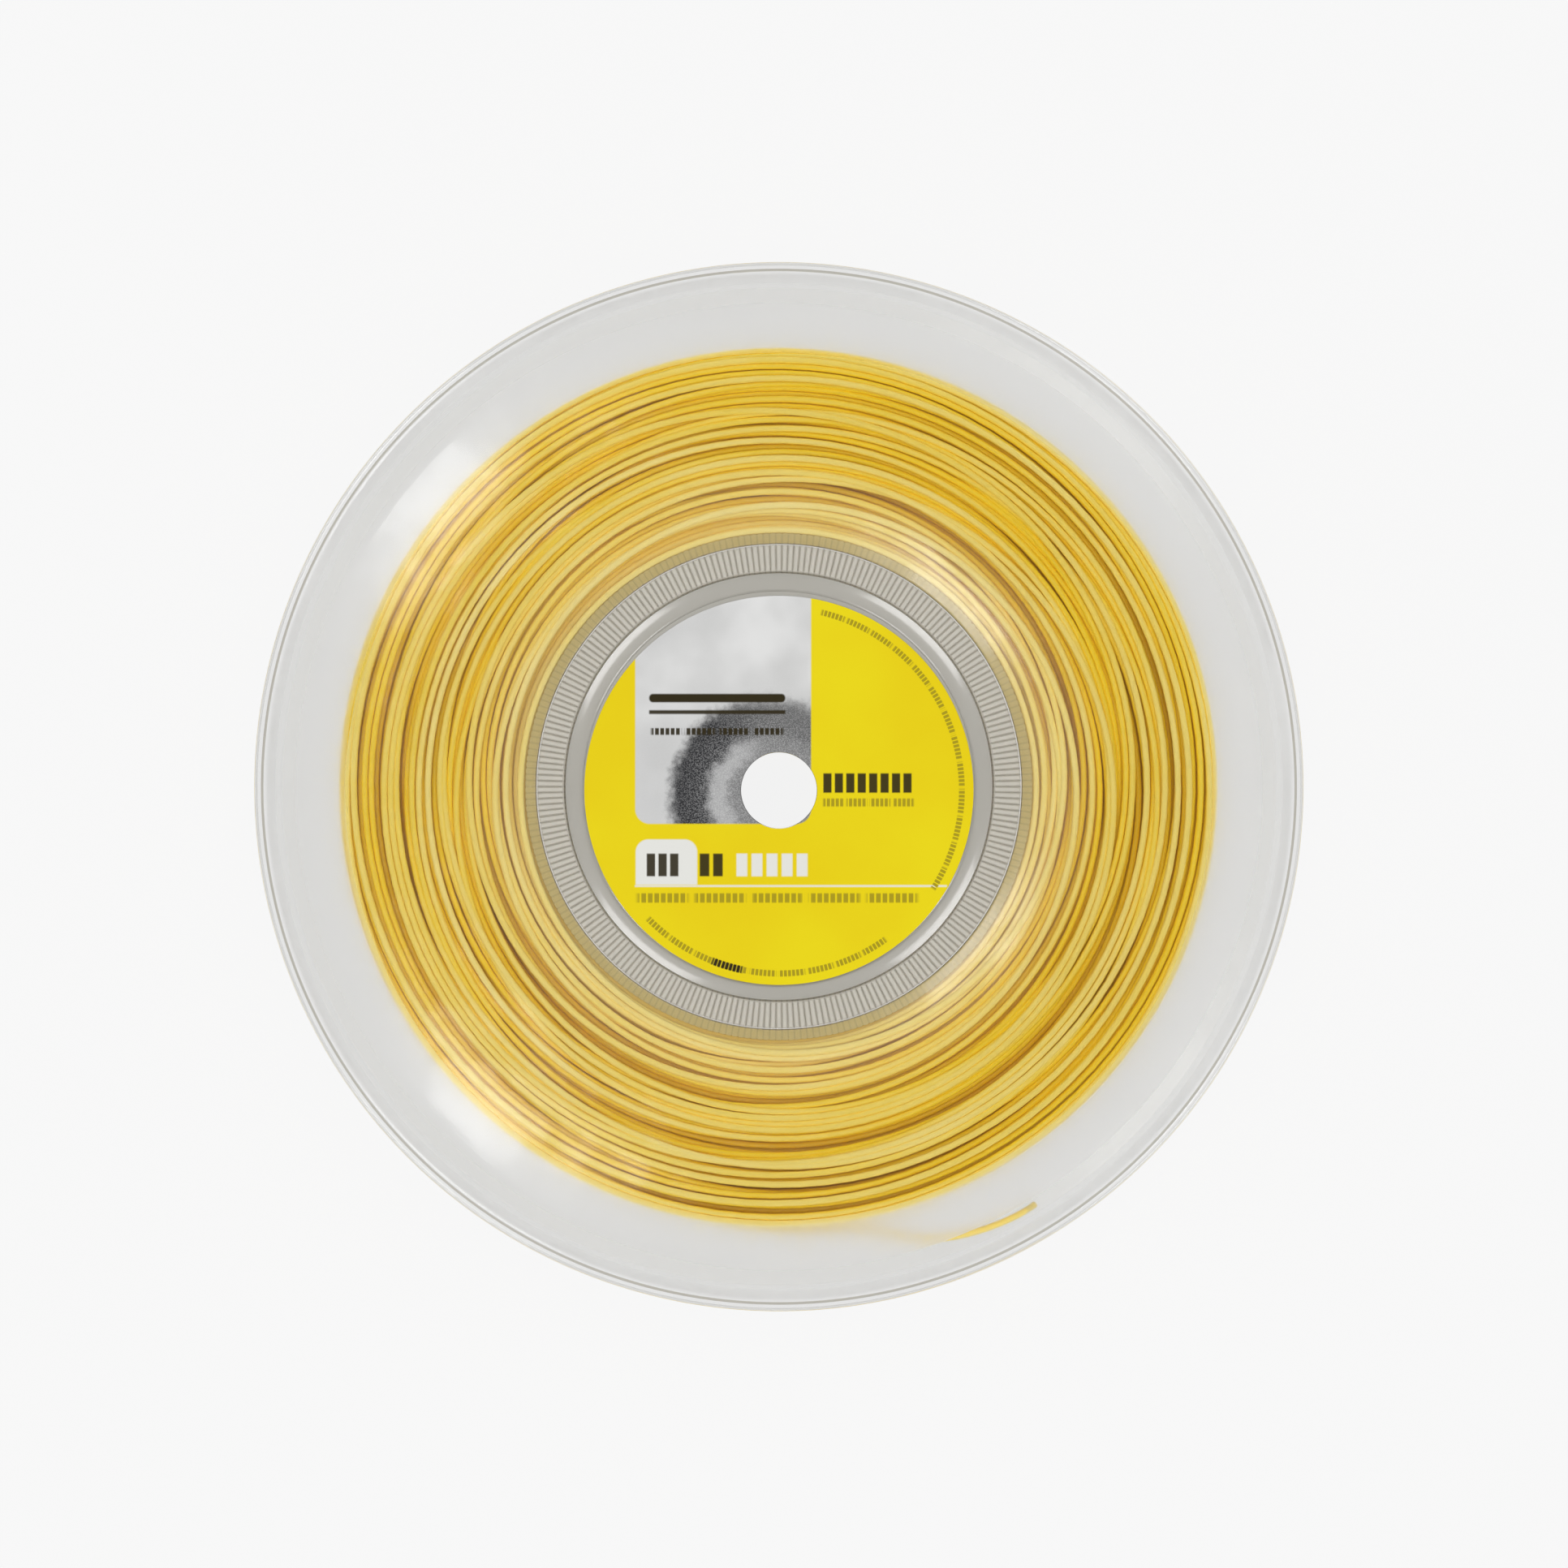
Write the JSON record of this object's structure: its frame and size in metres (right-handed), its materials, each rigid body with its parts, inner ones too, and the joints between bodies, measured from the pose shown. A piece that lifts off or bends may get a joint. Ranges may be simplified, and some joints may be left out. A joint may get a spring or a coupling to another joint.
{
  "type": "racket string reel",
  "caption": "Clear moulded reel with two wide flanges on a drum, filled with wound racket string, labelled hub and open spindle bore.",
  "frame": {"origin": "middle of the rear flange's rest face, on the reel's axis", "axes": "+Z along the reel's axis, out of the front flange; +Y towards the top of the label, +X towards the label's right"},
  "size_m": [0.2, 0.2, 0.028],
  "materials": {
    "clear_flange": "clear moulded plastic, slightly hazy",
    "clear_hub": "thicker clear moulded plastic, hazy grey",
    "label": "printed satin film",
    "string": "textured golden polyester monofilament"
  },
  "bodies": {
    "root": {"front_flange": "clear_flange", "rear_flange": "clear_flange", "hub_drum": "clear_hub", "front_ribbed_collar": "clear_hub", "rear_ribbed_collar": "clear_hub", "front_hub_cap": "clear_hub", "rear_hub_cap": "clear_hub", "spindle_tube": "clear_hub", "front_label": "label", "rear_label": "label", "string_winding": "string", "string_tail": "string"}
  },
  "joints": []
}
